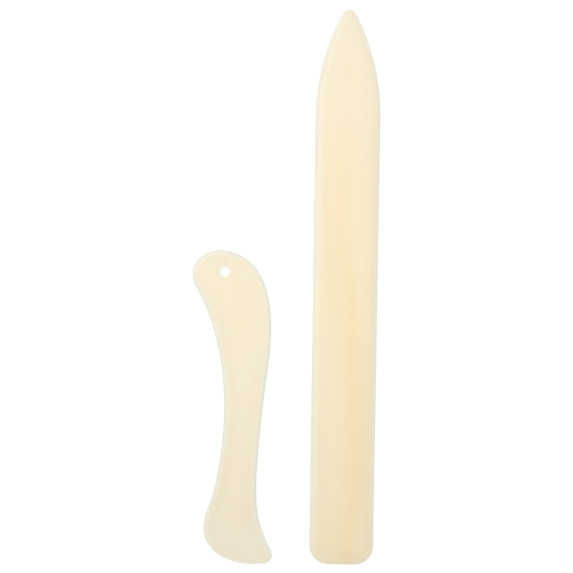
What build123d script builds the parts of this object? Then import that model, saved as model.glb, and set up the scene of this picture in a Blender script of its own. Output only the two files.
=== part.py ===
from build123d import *
import os
from math import cos, radians, sin, sqrt

# A pair of bone folders for creasing and scoring paper, lying flat side by side:
# a long straight one with a point, and a short S-curved one with a hanging hole.
# Millimetres.  Z is up, and both tools lie on the plane Z = 0.  Y runs along the long
# tool towards its point.  The origin is the centre of the pair's footprint.

# ---- the long folder ----
LONG_LENGTH = 203.2          # tip to butt, eight inches
LONG_AXIS_X = 22.05          # where its centre line lies
LONG_BUTT_Y = -101.43        # where its butt ends
LONG_THICKNESS = 3.2
SHOULDER_WIDTH = 23.7        # where the point begins
BUTT_WIDTH = 23.3            # the sides close in slightly towards the butt
POINT_LENGTH = 39.6          # tip to shoulder
FLANK_RADIUS = 81.6          # the two arcs of the ogive point
BUTT_CORNER_RADIUS = 7.0
TIP_THICKNESS = 1.7
TIP_TAPER_LENGTH = 46.0      # over which both faces close in on the tip
BUTT_THICKNESS = 1.8
BUTT_TAPER_LENGTH = 13.0
LONG_RIM_RADIUS = 1.0

# ---- the curved folder ----
CURVED_THICKNESS = 3.0
CURVED_RIM_RADIUS = 0.9
HOLE_CENTRE = (-22.3, 5.2)
HOLE_RADIUS = 1.85
HOLE_EDGE_BREAK = 0.25
BLADE_START_Y = -80.0        # both faces are ground thinner from here to the blade's end
BLADE_END_Y = -101.77
BLADE_TILT = 6.0             # degrees that the grinding line rises towards +X
BLADE_PIVOT_X = -18.0        # where that line crosses BLADE_START_Y
BLADE_END_THICKNESS = 1.2

# The toe corner of the curved folder is an arc, from due +X of its centre, clockwise.
TOE_CENTRE = (-6.25, -98.5)
TOE_RADIUS = 2.9
TOE_TURN = 83.0              # degrees

# The rest of its outline is one smooth curve, clockwise from the toe corner's end.
CURVED_OUTLINE = [
    # long sweep of the blade's edge, round to the heel
    (-11.5, BLADE_END_Y),
    (-18.0, -100.7),
    (-24.6, -97.2),
    (-28.1, -91.8),
    (-28.15, -85.2),
    (-26.3, -79.5),
    # hollow inner side, leaning out to the head
    (-23.4, -67.0),
    (-21.65, -48.0),
    (-22.7, -30.5),
    (-26.6, -14.0),
    (-31.3, -2.9),
    # head: inner side, crown and outer shoulder
    (-33.78, 2.5),
    (-33.3, 7.4),
    (-30.0, 11.2),
    (-24.2, 12.95),
    (-17.6, 11.7),
    (-11.8, 7.75),
    (-7.7, 1.0),
    # convex back, narrowing to the neck of the blade
    (-5.3, -8.5),
    (-4.9, -18.0),
    (-6.6, -36.0),
    (-9.0, -62.0),
    # hollow above the toe
    (-9.45, -74.5),
    (-7.9, -87.0),
    (-4.4, -95.5),
]
OUTLINE_EDGES = 10           # the smooth curve is cut into this many edges

CUT_MARGIN = 10.0            # how far a cutter stands clear of the tool it cuts
FLAT = 0.001                 # an edge that climbs less than this lies level


def nose_radius():
    """Radius of the tip's nose circle, which touches both flank arcs from inside.

    Each flank arc is tangent to a side at the shoulder, so its centre lies FLANK_RADIUS
    in from that side.  The nose's centre is on the axis, one nose radius below the tip.
    """
    across = FLANK_RADIUS - SHOULDER_WIDTH / 2
    short_of = FLANK_RADIUS ** 2 - across ** 2 - POINT_LENGTH ** 2
    return short_of / (2 * (FLANK_RADIUS - POINT_LENGTH))


def long_outline():
    """Plan outline of the long folder: taper, shoulders, ogive flanks, nose and butt."""
    half = SHOULDER_WIDTH / 2
    butt_half = BUTT_WIDTH / 2
    shoulder_y = LONG_LENGTH - POINT_LENGTH
    nose = nose_radius()
    nose_y = LONG_LENGTH - nose
    # the nose touches each flank on the line through the two circles' centres
    reach = FLANK_RADIUS - nose
    touch_x = nose * (FLANK_RADIUS - half) / reach
    touch_y = nose_y + nose * (nose_y - shoulder_y) / reach
    with BuildSketch() as plan:
        with BuildLine():
            TangentArc((half, shoulder_y), (touch_x, touch_y), tangent=(0, 1))
            ThreePointArc((touch_x, touch_y), (0, LONG_LENGTH), (-touch_x, touch_y))
            TangentArc((-half, shoulder_y), (-touch_x, touch_y), tangent=(0, 1))
            Polyline((-half, shoulder_y), (-butt_half, 0), (butt_half, 0), (half, shoulder_y))
        make_face()
        butt_corners = plan.vertices().sort_by(Axis.Y)[:2]
        fillet(butt_corners, BUTT_CORNER_RADIUS)
    return plan.sketch.face()


def curved_outline():
    """Plan outline of the curved folder: the toe's arc and a smooth curve round the rest."""
    toe_x, toe_y = TOE_CENTRE
    toe_start = (toe_x + TOE_RADIUS, toe_y)
    turn = radians(TOE_TURN)
    toe_end = (toe_x + TOE_RADIUS * cos(turn), toe_y - TOE_RADIUS * sin(turn))
    toe = CenterArc(TOE_CENTRE, TOE_RADIUS, 0, -TOE_TURN)
    headings = [(-sin(turn), -cos(turn)), (0, -1)]
    points = [toe_end] + CURVED_OUTLINE + [toe_start]
    sweep = Spline(points, tangents=headings, tangent_scalars=[1, 1])
    shares = [(i / OUTLINE_EDGES, (i + 1) / OUTLINE_EDGES) for i in range(OUTLINE_EDGES)]
    return Face(Wire([toe] + [sweep.trim(start, end) for start, end in shares]))


def rounded_plate(plan, thickness, rim_radius):
    """Plate of one thickness with both rims rounded all round."""
    plate = extrude(plan, amount=thickness, dir=(0, 0, 1))
    rims = plate.edges().filter_by(lambda edge: edge.bounding_box().size.Z < FLAT)
    return fillet(rims, rim_radius)


def long_side_profile():
    """Side view of the long folder in Y and Z: even, then thinner to the tip and the butt."""
    middle = LONG_THICKNESS / 2
    tip_start = LONG_LENGTH - TIP_TAPER_LENGTH
    tip_rise = TIP_THICKNESS / 2
    butt_rise = BUTT_THICKNESS / 2
    with BuildSketch(Plane.YZ) as side:
        with BuildLine():
            for way in (1, -1):
                face_z = middle + way * middle
                tip_z = middle + way * tip_rise
                butt_z = middle + way * butt_rise
                TangentArc((tip_start, face_z), (LONG_LENGTH, tip_z), tangent=(1, 0))
                Line((tip_start, face_z), (BUTT_TAPER_LENGTH, face_z))
                TangentArc((BUTT_TAPER_LENGTH, face_z), (0, butt_z), tangent=(-1, 0))
            Line((LONG_LENGTH, middle - tip_rise), (LONG_LENGTH, middle + tip_rise))
            Line((0, middle - butt_rise), (0, middle + butt_rise))
        make_face()
    return side.sketch.face()


def long_bone_folder():
    """The long straight folder, in its place beside the curved one."""
    plate = rounded_plate(long_outline(), LONG_THICKNESS, LONG_RIM_RADIUS)
    side = extrude(long_side_profile(), amount=SHOULDER_WIDTH, both=True)
    return Pos(LONG_AXIS_X, LONG_BUTT_Y, 0) * (plate & side)


def blade_cutter():
    """Wedge over the blade; its lower side is the arc that the top face is ground to."""
    drop = (CURVED_THICKNESS - BLADE_END_THICKNESS) / 2
    run = BLADE_START_Y - BLADE_END_Y
    radius = (run * run + drop * drop) / (2 * drop)
    reach = run + CUT_MARGIN
    deepest = radius - sqrt(radius * radius - reach * reach)
    with BuildSketch(Plane.YZ) as wedge:
        with BuildLine():
            TangentArc((0, 0), (-reach, -deepest), tangent=(-1, 0))
            Polyline((-reach, -deepest), (-reach, CUT_MARGIN), (0, CUT_MARGIN), (0, 0))
        make_face()
    cutter = extrude(wedge.sketch.face(), amount=3 * CUT_MARGIN, both=True)
    return Pos(BLADE_PIVOT_X, BLADE_START_Y, CURVED_THICKNESS) * Rot(0, 0, BLADE_TILT) * cutter


def curved_bone_folder():
    """The short S-curved folder: rounded rims, thinned blade and hanging hole."""
    body = rounded_plate(curved_outline(), CURVED_THICKNESS, CURVED_RIM_RADIUS)
    top_cut = blade_cutter()
    middle = CURVED_THICKNESS / 2
    body = body - top_cut - mirror(top_cut, about=Plane.XY.offset(middle))
    hole_x, hole_y = HOLE_CENTRE
    body = body - Pos(hole_x, hole_y, middle) * Cylinder(HOLE_RADIUS, 2 * CURVED_THICKNESS)
    circles = body.edges().filter_by(GeomType.CIRCLE)
    hole_rims = circles.filter_by(lambda rim: abs(rim.radius - HOLE_RADIUS) < FLAT)
    return fillet(hole_rims, HOLE_EDGE_BREAK)


os.makedirs("parts", exist_ok=True)
export_step(long_bone_folder(), "parts/long_bone_folder.step")
export_step(curved_bone_folder(), "parts/curved_bone_folder.step")
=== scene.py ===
import math

import bmesh
import bpy
import numpy as np
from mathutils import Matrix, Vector
from mathutils.geometry import delaunay_2d_cdt
from mathutils.kdtree import KDTree


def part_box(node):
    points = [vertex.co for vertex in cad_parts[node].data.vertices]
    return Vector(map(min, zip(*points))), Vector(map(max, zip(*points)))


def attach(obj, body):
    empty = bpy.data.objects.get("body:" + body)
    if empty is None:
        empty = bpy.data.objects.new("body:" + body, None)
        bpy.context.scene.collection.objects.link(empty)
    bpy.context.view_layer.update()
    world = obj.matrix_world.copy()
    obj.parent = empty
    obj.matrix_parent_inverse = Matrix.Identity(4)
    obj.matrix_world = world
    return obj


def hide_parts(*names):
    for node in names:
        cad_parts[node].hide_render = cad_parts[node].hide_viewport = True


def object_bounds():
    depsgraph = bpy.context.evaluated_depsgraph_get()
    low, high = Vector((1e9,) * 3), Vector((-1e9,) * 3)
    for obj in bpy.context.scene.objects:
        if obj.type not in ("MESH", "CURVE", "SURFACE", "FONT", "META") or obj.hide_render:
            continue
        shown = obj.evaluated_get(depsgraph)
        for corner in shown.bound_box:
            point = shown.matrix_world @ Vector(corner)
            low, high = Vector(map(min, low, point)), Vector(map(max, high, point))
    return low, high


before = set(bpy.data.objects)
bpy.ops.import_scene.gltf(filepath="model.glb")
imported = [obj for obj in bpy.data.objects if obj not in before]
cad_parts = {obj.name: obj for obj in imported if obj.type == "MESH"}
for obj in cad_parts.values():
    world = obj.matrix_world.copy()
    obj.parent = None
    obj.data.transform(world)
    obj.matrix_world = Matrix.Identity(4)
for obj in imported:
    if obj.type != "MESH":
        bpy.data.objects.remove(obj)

# Two bone folders on a white floor, seen from straight above.  Metres throughout.
# Each visible piece is a fine closed mesh built on its CAD node's plan outline: the rims
# roll off in a quarter ellipse, and the faces thin out towards the tip, butt and blade.

MM = 0.001
CAD_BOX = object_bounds()

# ---- how finely the meshes are divided ----
OUTLINE_STEP = 0.5 * MM
LATTICE_STEP = 1.2 * MM
LATTICE_CLEARANCE = 0.55     # of a lattice step, kept free beside the rings
ROLL_RINGS = 10
EDGE_BREAK_RINGS = 5
UPRIGHT = 0.001 * MM         # a wall edge that leans less than this stands upright
WELD = UPRIGHT / 10          # the CAD mesh's points closer than this are one point
STRAIGHT_RUN = 3.0           # a chord this many times its neighbour's length is a straight run
CURVE_STEPS = 5              # each outline step is first followed in this many parts
SAME_POINT = 1e-9            # the land's triangulation merges only points this close
QUAD_BEND = math.radians(5)  # two triangles join into a quad if they bend less than this,
QUAD_SKEW = math.radians(35)  # and if the quad's corners are this near to square

# ---- the hand-finished form, in addition to the frame's own sizes ----
LONG_ROLL = 2.4 * MM         # width of the band where each face rolls off to the rim
LONG_TIP_LOSS = 0.75 * MM    # what each face loses at the tip, and over what length
LONG_TIP_RUN = 46.0 * MM
LONG_BUTT_LOSS = 0.70 * MM
LONG_BUTT_RUN = 13.0 * MM
LONG_CROWN = 0.10 * MM       # how much lower the long folder's faces are at their sides
CURVED_ROLL = 1.6 * MM
BLADE_START_Y = -80.0 * MM   # the grinding line of the blade, where it crosses BLADE_X
BLADE_X = -18.0 * MM
BLADE_TILT = math.radians(6.0)  # the line climbs this much towards +X
BLADE_SLOPE_LOSS = 0.40 * MM  # lost evenly over the blade, so that its start shows
BLADE_CURVE_LOSS = 0.45 * MM  # lost faster towards the blade's edge
BLADE_RUN_PAST = 1.2         # the slope goes on as far as this share of the blade's length
HOLE_EDGE_BREAK = 0.25 * MM
HOLE_RIM_SCALE = 3.0         # the hole's pale rim is this many times narrower than the outer
POLISH_DEPTH = 0.02 * MM     # the slow waves that hand polishing leaves
POLISH_WAVES = [             # their length across and along, over 2 pi, and their phase
    (9.0 * MM, 5.3 * MM, 0.0),
    (-4.3 * MM, 11.7 * MM, 1.3),
]
WINDING_ACROSS = 3.1 * MM    # one more wave, across the folder, winds along its length
WINDING_ALONG = 17.0 * MM
WINDING = 2.0


# ------------------------------------------------------------------ outlines

def node_outlines(name):
    """Plan outlines of a CAD node, largest first: its upright wall edges, in order."""
    low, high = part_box(name)
    middle = (low.z + high.z) / 2
    mesh = bmesh.new()
    mesh.from_mesh(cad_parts[name].data)
    bmesh.ops.remove_doubles(mesh, verts=mesh.verts, dist=WELD)
    mesh.edges.ensure_lookup_table()
    crossing = [e for e in mesh.edges
                if (e.verts[0].co.z - middle) * (e.verts[1].co.z - middle) < 0]
    left = set(crossing)
    outlines = []
    for start in crossing:
        if start not in left:
            continue
        points = []
        edge, came_from = start, None
        while edge in left:
            left.remove(edge)
            a, b = edge.verts
            if (a.co - b.co).xy.length < UPRIGHT:
                points.append((a.co.x, a.co.y))
            face = next(f for f in edge.link_faces if f is not came_from)
            came_from = face
            edge = next((e for e in face.edges if e in left), start)
        outlines.append(np.array(points))
    mesh.free()
    return sorted(outlines, key=lambda loop: np.ptp(loop[:, 0]), reverse=True)


def signed_area(loop):
    """Area inside a loop, positive where it runs counter-clockwise."""
    x, y = loop[:, 0], loop[:, 1]
    return 0.5 * np.sum(x * np.roll(y, -1) - y * np.roll(x, -1))


def even_loop(points, step):
    """Evenly spaced points, counter-clockwise, on the smooth curve through an outline.

    Each stretch is a cubic.  Its end tangents are those of the circle through three
    neighbouring points, or in line with a straight run.
    """
    if signed_area(points) < 0:
        points = points[::-1]
    chord = np.roll(points, -1, axis=0) - points
    length = np.hypot(chord[:, 0], chord[:, 1])[:, None]
    ahead = chord / length
    behind = np.roll(ahead, 1, axis=0)
    length_behind = np.roll(length, 1, axis=0)
    tangent = behind * length + ahead * length_behind
    tangent = np.where(length > STRAIGHT_RUN * length_behind, ahead, tangent)
    tangent = np.where(length_behind > STRAIGHT_RUN * length, behind, tangent)
    tangent /= np.hypot(tangent[:, 0], tangent[:, 1])[:, None]
    fine = []
    for i, start in enumerate(points):
        j = (i + 1) % len(points)
        count = max(2, int(math.ceil(length[i, 0] / (step / CURVE_STEPS))))
        t = np.linspace(0.0, 1.0, count, endpoint=False)[:, None]
        fine.append((2 * t ** 3 - 3 * t ** 2 + 1) * start
                    + (t ** 3 - 2 * t ** 2 + t) * length[i] * tangent[i]
                    + (3 * t ** 2 - 2 * t ** 3) * points[j]
                    + (t ** 3 - t ** 2) * length[i] * tangent[j])
    fine = np.vstack(fine + [fine[0][:1]])
    along = np.concatenate([[0.0], np.cumsum(np.hypot(*np.diff(fine, axis=0).T))])
    count = int(round(along[-1] / step))
    places = np.linspace(0.0, along[-1], count, endpoint=False)
    return np.column_stack([np.interp(places, along, fine[:, 0]),
                            np.interp(places, along, fine[:, 1])])


def left_normals(loop):
    """Unit normals that point to the left of a loop's direction of travel."""
    run = np.roll(loop, -1, axis=0) - np.roll(loop, 1, axis=0)
    run /= np.hypot(run[:, 0], run[:, 1])[:, None]
    return np.column_stack([-run[:, 1], run[:, 0]])


def inside(loop, points):
    """True for each point that a loop encloses, by counting crossings of a ray."""
    found = np.zeros(len(points), dtype=bool)
    following = np.roll(loop, -1, axis=0)
    for (ax, ay), (bx, by) in zip(loop, following):
        spans = (ay > points[:, 1]) != (by > points[:, 1])
        if not spans.any():
            continue
        cross_x = ax + (points[:, 1] - ay) * (bx - ax) / (by - ay)
        found ^= spans & (points[:, 0] < cross_x)
    return found


def distance_to(loops, points):
    """Distance from each point to the nearest point of several loops."""
    every = np.vstack(loops)
    tree = KDTree(len(every))
    for index, (x, y) in enumerate(every):
        tree.insert((x, y, 0.0), index)
    tree.balance()
    return np.array([tree.find((x, y, 0.0))[2] for x, y in points])


# ------------------------------------------------------------------ meshes

def polish_waves(x, y):
    """Depth of the slow uneven waves that hand polishing leaves, from 0 to POLISH_DEPTH."""
    wave = np.sin(x / WINDING_ACROSS + WINDING * np.sin(y / WINDING_ALONG))
    for across, along, phase in POLISH_WAVES:
        wave = wave + np.sin(y / along + x / across + phase)
    most = 1 + len(POLISH_WAVES)
    return POLISH_DEPTH * (wave + most) / (2 * most)


def rim_rings(outer, roll):
    """Rings from the rim inwards over the rolled band, up to the land.

    A ring is its points, its share of the land's height, and its drop below that.
    """
    normals = left_normals(outer)
    rings = []
    for k in range(ROLL_RINGS + 1):
        angle = 0.5 * math.pi * k / ROLL_RINGS
        offset = roll * (1.0 - math.cos(angle))
        rings.append((outer + normals * offset, math.sin(angle), 0.0))
    return rings


def hole_rings(hole):
    """Rings from half way down the hole's wall outwards over its broken edge."""
    outward = -left_normals(hole)
    rings = [(hole, 0.0, 0.0)]
    for k in range(EDGE_BREAK_RINGS + 1):
        angle = 0.5 * math.pi * k / EDGE_BREAK_RINGS
        offset = HOLE_EDGE_BREAK * (1.0 - math.cos(angle))
        drop = HOLE_EDGE_BREAK * (1.0 - math.sin(angle))
        rings.append((hole + outward * offset, 1.0, drop))
    return rings


def land_plan(name, loops):
    """The land in plan: a square lattice between the loops, joined to them by triangles.

    The first loop is the land's outer border, and any other is a hole's.  Returns the
    lattice and the triangles, whose corners count through the loops and then the lattice.
    """
    low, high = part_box(name)
    grid_x = np.arange(low.x, high.x, LATTICE_STEP)
    grid_y = np.arange(low.y, high.y, LATTICE_STEP)
    lattice = np.array([(x, y) for y in grid_y for x in grid_x])
    lattice = lattice[inside(loops[0], lattice)]
    for loop in loops[1:]:
        lattice = lattice[~inside(loop, lattice)]
    clear = distance_to(loops, lattice) > LATTICE_CLEARANCE * LATTICE_STEP
    lattice = lattice[clear]
    land = np.vstack(loops + [lattice])
    edges = []
    for loop in loops:
        start, count = len(edges), len(loop)
        edges += [(start + i, start + (i + 1) % count) for i in range(count)]
    plan = delaunay_2d_cdt([Vector(p) for p in land], edges, [], 1, SAME_POINT)
    if len(plan[0]) != len(land):
        raise RuntimeError(name + ": the land's triangulation added points")
    triangles = [tuple(face) for face in plan[2]]
    for loop in loops[1:]:
        centres = np.array([land[list(face)].mean(axis=0) for face in triangles])
        triangles = [face for face, drop in zip(triangles, inside(loop, centres)) if not drop]
    return lattice, triangles


def folder_mesh(name, outer, hole, roll, land_height):
    """Closed mesh of one folder: its rings, its land, and the hole if it has one.

    land_height(x, y) is half the thickness on the land.  The two faces mirror each other
    about mid height, and share the rim's ring and the ring half way down the hole.
    """
    low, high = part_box(name)
    middle = (low.z + high.z) / 2
    walls = [(rim_rings(outer, roll), 1)]       # rings, and which way round their faces go
    if hole is not None:
        walls.append((hole_rings(hole), -1))
    lattice, triangles = land_plan(name, [rings[-1][0] for rings, turn in walls])
    points, faces = [], []

    def add_ring(ring, way):
        """One ring of points on the face that way points to; returns its first index."""
        plan_points, share, drop = ring
        first = len(points)
        height = land_height(plan_points[:, 0], plan_points[:, 1])
        z = middle + way * (height * share - drop)
        points.extend(np.column_stack([plan_points, z]))
        return first

    def join(first, second, count, way):
        """A band of quads between two rings."""
        for i in range(count):
            j = (i + 1) % count
            quad = (first + i, first + j, second + j, second + i)
            faces.append(quad if way > 0 else quad[::-1])

    shared = [add_ring(rings[0], 1) for rings, turn in walls]
    for way in (1, -1):
        place = []                              # where the land's corners are in points
        for (rings, turn), previous in zip(walls, shared):
            for ring in rings[1:]:
                current = add_ring(ring, way)
                join(previous, current, len(ring[0]), way * turn)
                previous = current
            place += range(previous, len(points))
        lattice_first = add_ring((lattice, 1.0, 0.0), way)
        place += range(lattice_first, len(points))
        for face in triangles:
            corners = tuple(place[i] for i in face)
            faces.append(corners if way > 0 else corners[::-1])
    return smooth_mesh(name + "_finished", points, faces)


def smooth_mesh(name, points, faces):
    """Smooth-shaded mesh, with flat enough pairs of triangles joined into quads."""
    data = bpy.data.meshes.new(name)
    data.from_pydata([tuple(p) for p in points], [], faces)
    data.validate()
    mesh = bmesh.new()
    mesh.from_mesh(data)
    tris = [f for f in mesh.faces if len(f.verts) == 3]
    bmesh.ops.join_triangles(mesh, faces=tris, angle_face_threshold=QUAD_BEND,
                             angle_shape_threshold=QUAD_SKEW)
    bmesh.ops.recalc_face_normals(mesh, faces=mesh.faces)
    for face in mesh.faces:
        face.smooth = True
    mesh.to_mesh(data)
    mesh.free()
    return data


def store_rim_distance(data, outer, hole):
    """Stores each point's distance to the rim in plan, for the material to use."""
    plan_points = [(v.co.x, v.co.y) for v in data.vertices]
    rim_distance = distance_to([outer], plan_points)
    if hole is not None:
        rim_distance = np.minimum(rim_distance, HOLE_RIM_SCALE * distance_to([hole], plan_points))
    layer = data.attributes.new("rim_distance", "FLOAT", "POINT")
    layer.data.foreach_set("value", rim_distance.astype(np.float32))


def long_land_height(x, y):
    """Half the long folder's thickness on its land."""
    low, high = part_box("long_bone_folder")
    axis = (low.x + high.x) / 2
    half_width = (high.x - low.x) / 2
    tip = np.clip(1.0 - (high.y - y) / LONG_TIP_RUN, 0.0, 1.0)
    butt = np.clip(1.0 - (y - low.y) / LONG_BUTT_RUN, 0.0, 1.0)
    crown = LONG_CROWN * ((x - axis) / half_width) ** 2
    loss = LONG_TIP_LOSS * tip ** 2 + LONG_BUTT_LOSS * butt ** 2
    return (high.z - low.z) / 2 - loss - crown - polish_waves(x, y)


def curved_land_height(x, y):
    """Half the curved folder's thickness on its land."""
    low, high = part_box("curved_bone_folder")
    run = BLADE_START_Y - low.y
    past = (BLADE_START_Y - y) * math.cos(BLADE_TILT) + (x - BLADE_X) * math.sin(BLADE_TILT)
    blade = np.clip(past / run, 0.0, BLADE_RUN_PAST)
    loss = BLADE_SLOPE_LOSS * blade + BLADE_CURVE_LOSS * blade ** 2
    return (high.z - low.z) / 2 - loss - polish_waves(x, y)


def add_object(name, data):
    """A new object in the scene."""
    made = bpy.data.objects.new(name, data)
    bpy.context.scene.collection.objects.link(made)
    return made


def make_piece(node, body, piece_name, roll, land_height, material):
    """Builds one folder, and has it stand for its CAD node on the right body."""
    outlines = [even_loop(loop, OUTLINE_STEP) for loop in node_outlines(node)]
    outer = outlines[0]
    hole = outlines[1] if len(outlines) > 1 else None
    data = folder_mesh(node, outer, hole, roll, land_height)
    store_rim_distance(data, outer, hole)
    data.materials.append(material)
    piece = add_object(piece_name, data)
    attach(piece, body)
    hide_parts(node)


# ------------------------------------------------------------------ materials

class Recipe:
    """A material under construction: adds nodes and links them."""

    def __init__(self, name):
        self.material = bpy.data.materials.new(name)
        self.material.use_nodes = True
        self.tree = self.material.node_tree
        self.surface = self.tree.nodes["Principled BSDF"]

    def add(self, kind, inputs, **settings):
        """A node with its settings, and its inputs as numbers or as other nodes' outputs."""
        made = self.tree.nodes.new(kind)
        for key, value in settings.items():
            setattr(made, key, value)
        for key, value in inputs.items():
            self.feed(made.inputs[key], value)
        return made

    def feed(self, socket, value):
        """Sets a socket to a number or links an output to it."""
        if isinstance(value, bpy.types.NodeSocket):
            self.tree.links.new(value, socket)
        else:
            socket.default_value = value

    def maths(self, operation, first, second=0.0):
        """One step of arithmetic on a number, or on two."""
        return self.add("ShaderNodeMath", {0: first, 1: second}, operation=operation).outputs[0]

    def fade(self, value, start, end, low=0.0, high=1.0):
        """Smooth step: low where value is at start, high where it is at end."""
        inputs = {"Value": value, "From Min": start, "From Max": end, "To Min": low, "To Max": high}
        made = self.add("ShaderNodeMapRange", inputs, interpolation_type="SMOOTHSTEP")
        return made.outputs["Result"]

    def blend(self, share, first, second):
        """Colour between first and second."""
        inputs = {0: share, 6: first, 7: second}
        return self.add("ShaderNodeMix", inputs, data_type="RGBA").outputs[2]

    def toned(self, tint, tone):
        """A colour with its saturation and value multiplied by the two numbers of a tone."""
        saturation, value = tone
        inputs = {"Saturation": saturation, "Value": value, "Color": tint}
        return self.add("ShaderNodeHueSaturation", inputs).outputs["Color"]

    def noise(self, place, cycles, detail, roughness):
        """Noise from 0 to 1, with its own number of cycles per metre along X, Y and Z."""
        scaled = self.add("ShaderNodeMapping", {"Vector": place, "Scale": cycles})
        inputs = {"Vector": scaled.outputs["Vector"], "Scale": 1.0,
                  "Detail": detail, "Roughness": roughness}
        return self.add("ShaderNodeTexNoise", inputs).outputs["Fac"]


def colour(red, green, blue):
    """Linear colour with full alpha."""
    return (red, green, blue, 1.0)


# Tones of polished bone, and of its painted shade and painted light: saturation and value, in
# proportion to the colour around them.
WARM_TONE = (1.28, 0.985)
PAINTED_SHADE_TONE = (1.0, 0.94)
EDGE_PAINTED_LIGHT_TONE = (1.0, 1.07)
GRAIN_TONE = (1.15, 0.955)
# How they lie beside the rims.
PAINTED_SHADE_WIDTH = 8.0 * MM       # a faint band of painted shade inside the rim
PAINTED_SHADE_CHANGE = 5.0 * MM      # its strength goes over from side to side this near the axis
RIM_CHANGE = 4.0 * MM        # and so does the width of the pale rim; where it is wider on the -X side, towards the light, the extra width is painted light
RIM_FADE_POWER = 1.4         # above 1 the pale rim fades sooner inwards
END_RUN = 10.0 * MM          # towards the -Y end the pale rim gives way over this length
END_RIM = 0.3                # to this share of its strength
EDGE_PAINTED_LIGHT_WIDTH = 1.0 * MM        # painted light: the rounded edge itself is a little lighter
# Noise: cycles per metre along X, Y and Z, slow along Y so that it runs lengthwise, then
# its detail and roughness.  Each range is where the noise begins to show and is at its full.
GRAIN = ((420.0, 26.0, 420.0), 4.0, 0.6)
GRAIN_RANGE = (0.35, 0.75)
GRAIN_STRENGTH = 0.10
PORES = ((5200.0, 620.0, 5200.0), 2.0, 0.5)
PORES_RANGE = (0.66, 0.80)
PORES_STRENGTH = 0.35
RUB = ((160.0, 40.0, 160.0), 5.0, 0.6)
RUB_RANGE = (0.3, 0.7)
# How the bone reflects light, and how deep light goes into it.
BONE_IOR = 1.54
SUBSURFACE_WEIGHT = 0.12
SUBSURFACE_RADIUS = (1.0, 0.75, 0.45)
SUBSURFACE_DEPTH = 1.2 * MM
SATIN = (0.40, 0.52)         # roughness, least and most
WORN_WIDTH = 2.0 * MM        # rims are rubbed glossier over this width
WORN_LOSS = 0.06             # by this much roughness
GRAIN_RELIEF = 0.6           # depth of the grain, in proportion to the pores' full depth
RELIEF_DEPTH = 0.03 * MM
RELIEF_STRENGTH = 0.35


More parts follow.
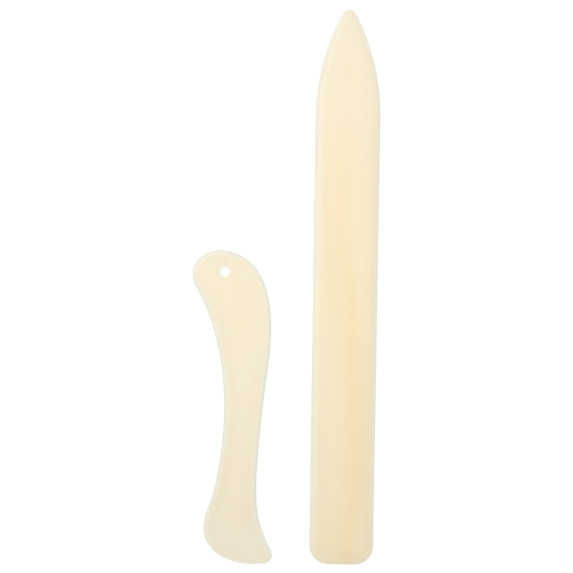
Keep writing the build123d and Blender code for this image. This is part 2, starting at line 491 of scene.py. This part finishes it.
def bone_material(name, node, core, pale, pale_zone, rim, rim_widths, warm, painted_shade_sides):
    """Polished bone: its body colour, warm and pale zones, pale rims, painted shade and painted
    light beside them, grain and pores.

    pale_zone is where along Y the paleness begins and is strongest, and its share there.
    warm is a function (recipe, x, y, place) that gives the share of warmth, from 0 to 1.
    rim_widths are how far the rim's colour reaches in on the -X and the +X side, where a wider band
    on the -X side, towards the light, is painted light, and painted_shade_sides is how strong the
    faint band of painted shade is on either side.
    """
    low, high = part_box(node)
    axis = (low.x + high.x) / 2
    recipe = Recipe(name)
    place = recipe.add("ShaderNodeTexCoord", {}).outputs["Object"]
    xyz = recipe.add("ShaderNodeSeparateXYZ", {0: place}).outputs
    x, y = xyz["X"], xyz["Y"]
    attribute = recipe.add("ShaderNodeAttribute", {}, attribute_name="rim_distance")
    rim_distance = attribute.outputs["Fac"]

    # body colour, with a band of painted shade beside the rims and painted light on the rounded
    # edge
    pale_start, pale_end, most = pale_zone
    pale_share = recipe.fade(y, pale_start, pale_end, 0.0, most)
    tint = recipe.blend(pale_share, core, pale)
    tint = recipe.blend(warm(recipe, x, y, place), tint, recipe.toned(tint, WARM_TONE))
    # painted shade: a faint darker band inside the rims, of its own strength on each side, and none
    # in the pale zones
    shade = recipe.maths("MULTIPLY", recipe.fade(rim_distance, 0.0, PAINTED_SHADE_WIDTH, 1.0, 0.0),
                         recipe.fade(x, axis - PAINTED_SHADE_CHANGE, axis + PAINTED_SHADE_CHANGE, *painted_shade_sides))
    shade = recipe.maths("MULTIPLY", shade, recipe.maths("SUBTRACT", 1.0, pale_share))
    tint = recipe.blend(shade, tint, recipe.toned(tint, PAINTED_SHADE_TONE))
    # the pale rim reaches further in on the -X side of the long folder, where the light falls: that
    # extra width is painted light
    rim_width = recipe.fade(x, axis - RIM_CHANGE, axis + RIM_CHANGE, *rim_widths)
    beside_rim = recipe.fade(rim_distance, 0.0, rim_width, 1.0, 0.0)
    rim_share = recipe.maths("MULTIPLY", recipe.maths("POWER", beside_rim, RIM_FADE_POWER),
                             recipe.fade(y, low.y, low.y + END_RUN, END_RIM, 1.0))
    tint = recipe.blend(rim_share, tint, rim)
    # painted light: the outermost millimetre of the rounded edge is made a little lighter
    edge_light_share = recipe.fade(rim_distance, 0.0, EDGE_PAINTED_LIGHT_WIDTH, 1.0, 0.0)
    tint = recipe.blend(edge_light_share, tint, recipe.toned(tint, EDGE_PAINTED_LIGHT_TONE))

    # lengthwise grain, and the fine pores of polished bone
    dark_tint = recipe.toned(tint, GRAIN_TONE)
    grain = recipe.noise(place, *GRAIN)
    grain_share = recipe.fade(grain, *GRAIN_RANGE, 0.0, GRAIN_STRENGTH)
    tint = recipe.blend(grain_share, tint, dark_tint)
    pores = recipe.noise(place, *PORES)
    pore_share = recipe.fade(pores, *PORES_RANGE, 0.0, PORES_STRENGTH)
    tint = recipe.blend(pore_share, tint, dark_tint)

    surface = recipe.surface.inputs
    recipe.feed(surface["Base Color"], tint)
    surface["IOR"].default_value = BONE_IOR
    surface["Subsurface Weight"].default_value = SUBSURFACE_WEIGHT
    surface["Subsurface Radius"].default_value = SUBSURFACE_RADIUS
    surface["Subsurface Scale"].default_value = SUBSURFACE_DEPTH
    # the polish is glossier where hands and paper rub it, along the rims
    satin = recipe.fade(recipe.noise(place, *RUB), *RUB_RANGE, *SATIN)
    worn = recipe.fade(rim_distance, 0.0, WORN_WIDTH, -WORN_LOSS, 0.0)
    recipe.feed(surface["Roughness"], recipe.maths("ADD", satin, worn))
    # scratches and pores, a few hundredths of a millimetre deep
    depth = recipe.maths("ADD", recipe.maths("MULTIPLY", grain, GRAIN_RELIEF), pore_share)
    inputs = {"Strength": RELIEF_STRENGTH, "Distance": RELIEF_DEPTH, "Height": depth}
    relief = recipe.add("ShaderNodeBump", inputs)
    recipe.feed(surface["Normal"], relief.outputs["Normal"])
    return recipe.material


# The long folder's warm streak: where its middle lies beside the axis, and how far from
# the butt each change begins and ends.
STREAK_DRIFT = (-1.0 * MM, 4.8 * MM)
DRIFT_FROM_BUTT = (130.0 * MM, 40.0 * MM)
STREAK_RETURN = 3.4 * MM
RETURN_FROM_BUTT = (36.0 * MM, 6.0 * MM)
STREAK_WANDER = 4.0 * MM     # how far it winds from side to side
WANDER = ((0.0, 22.0, 0.0), 3.0, 0.5)
STREAK_CREST = 0.5 * MM      # its strongest line, and its two edges, beside its middle
STREAK_EDGES = (-10.0 * MM, 6.5 * MM)
FIBRES = ((260.0, 9.0, 260.0), 4.0, 0.55)
FIBRES_RANGE = (0.3, 0.7)
FAINTEST_FIBRE = 0.55
STREAK_AT_TIP = 0.20         # its strength at the tip, and how far from there it grows
GROWTH_FROM_TIP = (15.0 * MM, 110.0 * MM)


def long_streak(recipe, x, y, place):
    """The long folder's warm streak: it drifts to +X, and back again near the butt."""
    low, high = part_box("long_bone_folder")
    axis = (low.x + high.x) / 2
    start, end = DRIFT_FROM_BUTT
    drift = recipe.fade(y, low.y + start, low.y + end, *STREAK_DRIFT)
    start, end = RETURN_FROM_BUTT
    drift = recipe.maths("SUBTRACT", drift,
                         recipe.fade(y, low.y + start, low.y + end, 0.0, STREAK_RETURN))
    wander = recipe.maths("SUBTRACT", recipe.noise(place, *WANDER), 0.5)
    wander = recipe.maths("MULTIPLY", wander, STREAK_WANDER)
    middle = recipe.maths("ADD", recipe.maths("ADD", drift, wander), axis)
    offset = recipe.maths("SUBTRACT", x, middle)
    left, right = STREAK_EDGES
    band = recipe.maths("MULTIPLY", recipe.fade(offset, left, STREAK_CREST),
                        recipe.fade(offset, STREAK_CREST, right, 1.0, 0.0))
    fibres = recipe.fade(recipe.noise(place, *FIBRES), *FIBRES_RANGE, FAINTEST_FIBRE, 1.0)
    start, end = GROWTH_FROM_TIP
    growth = recipe.fade(y, high.y - start, high.y - end, STREAK_AT_TIP, 1.0)
    return recipe.maths("MULTIPLY", recipe.maths("MULTIPLY", band, fibres), growth)


# Warm patches of the curved folder: centre X and Y, reach across and along, and strength.
WARM_PATCHES = [
    (-15.0 * MM, -7.0 * MM, 8.0 * MM, 13.0 * MM, 0.45),
    (-15.5 * MM, -85.0 * MM, 9.0 * MM, 11.0 * MM, 0.36),
]
CLOUDS = ((110.0, 45.0, 110.0), 3.0, 0.5)
CLOUDS_RANGE = (0.42, 0.72)
CLOUDS_STRENGTH = 0.25


def curved_warmth(recipe, x, y, place):
    """The curved folder's two warm patches, and fainter clouds along its length."""
    total = recipe.fade(recipe.noise(place, *CLOUDS), *CLOUDS_RANGE, 0.0, CLOUDS_STRENGTH)
    for centre_x, centre_y, reach_x, reach_y, strength in WARM_PATCHES:
        across = recipe.maths("ABSOLUTE", recipe.maths("SUBTRACT", x, centre_x))
        along = recipe.maths("ABSOLUTE", recipe.maths("SUBTRACT", y, centre_y))
        patch = recipe.maths("MULTIPLY", recipe.fade(across, 0.0, reach_x, strength, 0.0),
                             recipe.fade(along, 0.0, reach_y, 1.0, 0.0))
        total = recipe.maths("ADD", total, patch)
    return total


# The long folder is paler towards its tip, and the curved one towards its blade's end.
TIP_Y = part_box("long_bone_folder")[1].y
TIP_PALE_RUN = 70.0 * MM
TIP_PALENESS = 0.80
BLADE_END_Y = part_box("curved_bone_folder")[0].y
BLADE_PALE_RUN = 28.0 * MM
BLADE_PALENESS = 0.55

long_bone = bone_material(
    "long_bone", "long_bone_folder",
    core=colour(0.900, 0.775, 0.545), pale=colour(0.900, 0.815, 0.640),
    pale_zone=(TIP_Y - TIP_PALE_RUN, TIP_Y, TIP_PALENESS),
    rim=colour(0.885, 0.835, 0.680), rim_widths=(4.6 * MM, 2.6 * MM),
    warm=long_streak, painted_shade_sides=(0.55, 0.85))
curved_bone = bone_material(
    "curved_bone", "curved_bone_folder",
    core=colour(0.885, 0.797, 0.600), pale=colour(0.880, 0.815, 0.680),
    pale_zone=(BLADE_END_Y + BLADE_PALE_RUN, BLADE_END_Y, BLADE_PALENESS),
    rim=colour(0.870, 0.845, 0.715), rim_widths=(3.0 * MM, 3.0 * MM),
    warm=curved_warmth, painted_shade_sides=(0.75, 0.50))

make_piece("long_bone_folder", "long_folder", "long_folder_finished",
           LONG_ROLL, long_land_height, long_bone)
make_piece("curved_bone_folder", "curved_folder", "curved_folder_finished",
           CURVED_ROLL, curved_land_height, curved_bone)


# ------------------------------------------------------------------ floor, light, camera

FLOOR_HALF = 3.0             # half the floor's width
FLOOR_GAP = 0.02 * MM        # the floor lies this far below the folders
FLOOR_SHADE = 0.30
FLOOR_ROUGHNESS = 0.9
FLOOR_SPECULAR = 0.1
FLOOR_GLOW = 0.77            # to the camera
FLOOR_GLOW_ON_FOLDERS = 0.33
WORLD_LIGHT = 0.805          # as light on the folders; the camera sees plain white
KEY_PLACE = (-0.17, 0.17, 0.78)
KEY_TARGET = (-0.01, 0.030, 0.0)
KEY_RADIUS = 0.16
KEY_CONE = math.radians(33.0)
KEY_POWER = 8.3


def make_floor():
    """White floor: its glow is strong for the camera and weaker as light on the folders."""
    data = bpy.data.meshes.new("floor")
    h = FLOOR_HALF
    corners = [(-h, -h, -FLOOR_GAP), (h, -h, -FLOOR_GAP), (h, h, -FLOOR_GAP), (-h, h, -FLOOR_GAP)]
    data.from_pydata(corners, [], [(0, 1, 2, 3)])
    floor = add_object("floor", data)
    recipe = Recipe("floor_white")
    surface = recipe.surface.inputs
    surface["Base Color"].default_value = colour(FLOOR_SHADE, FLOOR_SHADE, FLOOR_SHADE)
    surface["Roughness"].default_value = FLOOR_ROUGHNESS
    surface["Specular IOR Level"].default_value = FLOOR_SPECULAR
    surface["Emission Color"].default_value = colour(1.0, 1.0, 1.0)
    seen = recipe.add("ShaderNodeLightPath", {}).outputs["Is Camera Ray"]
    glow = recipe.fade(seen, 0.0, 1.0, FLOOR_GLOW_ON_FOLDERS, FLOOR_GLOW)
    recipe.feed(surface["Emission Strength"], glow)
    data.materials.append(recipe.material)


def make_key_light():
    """Soft round lamp that shines in a cone and fades towards the cone's edge."""
    data = bpy.data.lights.new("key", "SPOT")
    data.shadow_soft_size = KEY_RADIUS
    data.spot_size = KEY_CONE
    data.spot_blend = 1.0
    data.energy = KEY_POWER
    light = add_object("key", data)
    light.location = KEY_PLACE
    beam = Vector(KEY_TARGET) - Vector(KEY_PLACE)
    light.rotation_euler = beam.to_track_quat("-Z", "Y").to_euler()
    light.visible_camera = False


def make_world():
    """Even white surroundings: plain white to the camera, dimmer as light on the folders."""
    world = bpy.data.worlds.new("surroundings")
    world.use_nodes = True
    tree = world.node_tree
    background = tree.nodes["Background"]
    background.inputs["Color"].default_value = colour(1.0, 1.0, 1.0)
    seen = tree.nodes.new("ShaderNodeLightPath").outputs["Is Camera Ray"]
    strength = tree.nodes.new("ShaderNodeMapRange")
    strength.inputs["To Min"].default_value = WORLD_LIGHT
    strength.inputs["To Max"].default_value = 1.0
    tree.links.new(seen, strength.inputs["Value"])
    tree.links.new(strength.outputs["Result"], background.inputs["Strength"])
    bpy.context.scene.world = world


CAMERA_HEIGHT = 1.2
CAMERA_ROLL = math.radians(0.9)      # the folders lie turned this much in the picture
FRAMED = 210.0 * MM                  # width of the picture at the folders' mid height
AIM = (0.52 * MM, 0.05 * MM)         # what the picture's centre looks at, from the origin
SENSOR = 36.0


def make_camera():
    """Camera straight above, with a long lens."""
    low, high = CAD_BOX
    middle = (low.z + high.z) / 2
    data = bpy.data.cameras.new("camera")
    data.type = "PERSP"
    data.sensor_width = SENSOR
    data.lens = SENSOR * CAMERA_HEIGHT / FRAMED
    camera = add_object("camera", data)
    camera.location = (AIM[0], AIM[1], middle + CAMERA_HEIGHT)
    camera.rotation_euler = (0.0, 0.0, CAMERA_ROLL)
    bpy.context.scene.camera = camera


make_floor()
make_world()
make_key_light()
make_camera()
bpy.context.scene.view_settings.view_transform = "Standard"
